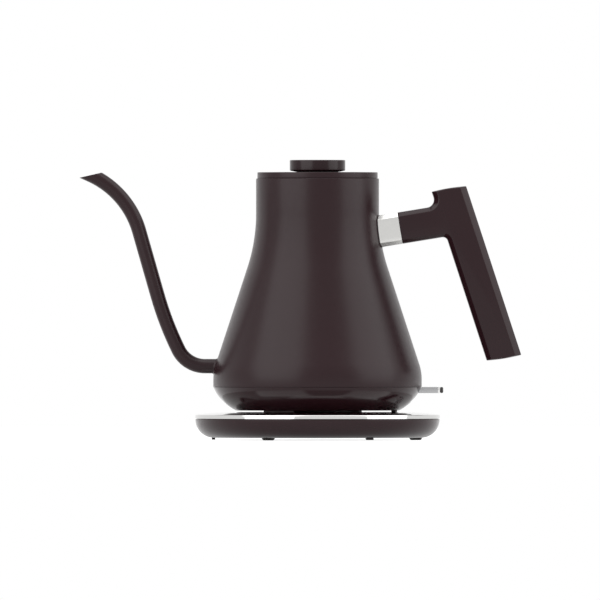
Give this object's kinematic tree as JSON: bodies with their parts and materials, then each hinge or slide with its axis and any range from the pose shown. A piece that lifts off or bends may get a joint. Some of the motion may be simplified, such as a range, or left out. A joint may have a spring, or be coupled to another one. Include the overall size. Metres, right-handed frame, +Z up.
{
  "type": "electric kettle",
  "caption": "Gooseneck electric kettle with conical vessel, lift-off lid and angular handle, seated on a round swivelling power base.",
  "frame": {"origin": "centre of the overall footprint, on the worktop under the base's feet", "axes": "+X from the spout towards the handle, +Z up along the kettle's axis"},
  "size_m": [0.2872, 0.1593, 0.182],
  "materials": {
    "paint": "satin powder coat, dark brown",
    "moulding": "fine matt moulding, dark brown",
    "polished_steel": "polished",
    "lever_steel": "satin",
    "plain_steel": "plain sheet",
    "element_sheath": "annealed sheath",
    "spreader": "as cast",
    "dark_plastic": "matt",
    "pale_plastic": "matt",
    "rubber": "matt",
    "silicone": "matt",
    "copper": "plain",
    "bronze": "plain"
  },
  "bodies": {
    "base": {"base_tub": "moulding", "base_plate": "polished_steel", "plug_housing": "dark_plastic", "plug_contacts": "bronze", "base_feet": "rubber", "base_screws": "plain_steel", "cord_gland": "rubber", "cord_clamp": "dark_plastic", "terminal_block": "pale_plastic"},
    "connector_pin": {"contact_pin": "copper"},
    "kettle": {"vessel_shell": "paint", "vessel_floor": "plain_steel", "spout": "paint", "heat_spreader": "spreader", "heating_element": "element_sheath", "element_terminals": "plain_steel", "bimetal_disc": "bronze", "trip_pin": "pale_plastic", "control_body": "dark_plastic", "contact_rings": "copper", "control_screws": "plain_steel", "bottom_skirt": "moulding", "skirt_screws": "plain_steel", "kettle_pads": "rubber", "lever_pin": "plain_steel", "steam_tube": "plain_steel", "tube_grommet": "rubber", "tube_clip": "plain_steel", "handle_bracket": "plain_steel", "handle_gasket": "rubber", "handle_collar": "polished_steel", "handle_tang": "plain_steel", "handle_screws": "plain_steel", "handle_grip": "moulding"},
    "lid": {"lid_cap": "paint", "lid_liner": "dark_plastic", "lid_seal": "silicone", "lid_knob": "moulding", "knob_spacer": "dark_plastic", "knob_screw": "plain_steel"},
    "lever": {"switch_lever": "lever_steel", "lever_tip": "dark_plastic"}
  },
  "joints": [
    {"name": "kettle_lift", "type": "slide", "parent": "base", "child": "connector_pin", "axis": [0, 0, 1], "range_m": [0, 0.1]},
    {"name": "kettle_swivel", "type": "hinge", "parent": "connector_pin", "child": "kettle", "pos_m": [0.01126, 0, 0.025], "axis": [0, 0, 1], "continuous": true},
    {"name": "lid_lift", "type": "slide", "parent": "kettle", "child": "lid", "axis": [0, 0, 1], "range_m": [0, 0.06]},
    {"name": "switch_press", "type": "hinge", "parent": "kettle", "child": "lever", "pos_m": [0.04526, 0, 0.0325], "axis": [0, 1, 0], "range_deg": [0, 7]}
  ]
}
